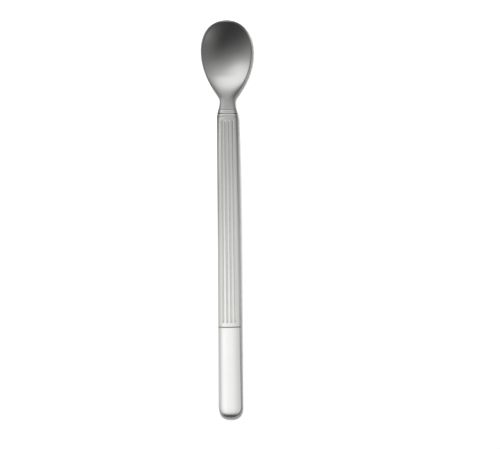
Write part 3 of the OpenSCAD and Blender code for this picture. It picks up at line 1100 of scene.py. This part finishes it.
def canopy(pieces):
    """The long canopy over the handle, which only the handle's pieces see."""
    points, faces = [], []
    for j in range(TENT_SIDES + 1):
        turn = math.pi * j / TENT_SIDES
        for y in (CANOPY_ALONG[0][0], CANOPY_ALONG[-1][0]):
            points.append((CANOPY_RADIUS * math.cos(turn), y, CANOPY_RADIUS * math.sin(turn)))
    for j in range(TENT_SIDES):
        faces.append((2 * j, 2 * j + 1, 2 * j + 3, 2 * j + 2))
    cloth = stage_mesh("canopy over the handle", points, faces, canopy_cloth())
    only_reflected(cloth)
    only_lights(cloth, pieces)


def between(place, stops):
    """Level at a place, drawn straight from stop to stop."""
    for (start, low), (end, high) in zip(stops, stops[1:]):
        if place <= end:
            return low + (high - low) * max(0.0, place - start) / (end - start)
    return stops[-1][1]


def card_grey():
    """Grey levels along the cards, by themselves at the spoon's left and right."""
    material, tree = glowing_cloth("grey card")
    place = parts_of(tree, surface_place(tree))
    at_right = worked_out(tree, "GREATER_THAN", place["X"], 0.0)
    left, right = [levels(tree, place["Y"], stops) for stops in (CARD_LEFT, CARD_RIGHT)]
    surface(tree, glow(tree, mixed(tree, at_right, left, right)))
    return material


def edge_cards():
    """Low cards under and round the spoon that keep the white table out of its edges."""
    right = [(half_width(s) + CARD_GAP, SPOON_MIDDLE - s, s) for s in CARD_PLACES]
    tip = (right[0][0] - CARD_GAP, SPOON_MIDDLE + CARD_GAP, 0)
    foot = (right[-1][0] - CARD_GAP, SPOON_MIDDLE - END_AT - CARD_GAP, END_AT)
    loop = [tip] + right + [foot]
    loop += [(-x, y, s) for x, y, s in reversed(loop)]
    points = [(x * MM, y * MM, -FLOOR_DROP) for x, y, s in loop]
    for x, y, s in loop:
        top = middle_height(s, END_HEIGHT) - TABLE_LEVEL + between(s, CARD_RISES)
        points.append((x * MM, y * MM, top * MM))
    n = len(loop)
    faces = [(i, (i + 1) % n, n + (i + 1) % n, n + i) for i in range(n)]
    faces.append(tuple(range(n)))
    only_reflected(stage_mesh("edge cards", points, faces, card_grey()))


def lamp():
    """A bulb past the bowl's tip, which throws soft shadows to the right and past the end."""
    bulb = bpy.data.lights.new("overhead lamp", "POINT")
    bulb.energy = LAMP_POWER
    bulb.shadow_soft_size = LAMP_RADIUS
    overhead = bpy.data.objects.new("overhead lamp", bulb)
    bpy.context.scene.collection.objects.link(overhead)
    overhead.location = LAMP_PLACE
    overhead.visible_glossy = False


def camera():
    """Looks straight down, turned by the lean and moved by the offset in its own view."""
    data = bpy.data.cameras.new("camera")
    data.sensor_width = SENSOR
    data.lens = SENSOR * CAMERA_HEIGHT / VIEW_WIDTH
    data.clip_end = VIEW_REACH
    seen_from = bpy.data.objects.new("camera", data)
    bpy.context.scene.collection.objects.link(seen_from)
    lean = math.radians(CAMERA_LEAN)
    right = Vector((math.cos(lean), -math.sin(lean), 0))
    up = Vector((math.sin(lean), math.cos(lean), 0))
    place = right * VIEW_OFFSET[0] + up * VIEW_OFFSET[1]
    place.z = CAMERA_HEIGHT + HANDLE_LEVEL
    seen_from.location = place
    seen_from.rotation_euler = (0, 0, -lean)
    bpy.context.scene.camera = seen_from
    bpy.context.scene.view_settings.view_transform = "Standard"


bowl = forged_bowl()
collar = beaded_collar()
front = half_shell("handle_front_shell", 1)
back = half_shell("handle_back_shell", -1)
end = solid_end()

bowl.data.materials.append(bowl_steel())
collar.data.materials.append(collar_steel())
shell_steel = handle_steel()
front.data.materials.append(shell_steel)
back.data.materials.append(shell_steel)
end.data.materials.append(end_steel())
frame["nodes"]["cement_core"].data.materials.clear()
frame["nodes"]["cement_core"].data.materials.append(bedding_cement())

for piece, node, slot in [
    (bowl, "bowl", "bowl_steel"),
    (collar, "collar", "collar_steel"),
    (front, "handle_front", "handle_steel"),
    (back, "handle_back", "handle_steel"),
    (end, "end_cap", "cap_steel"),
]:
    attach(piece, "root")
    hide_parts(node)

table()
world()
lamp()
tent()
canopy([collar, front, back, end])
edge_cards()
camera()
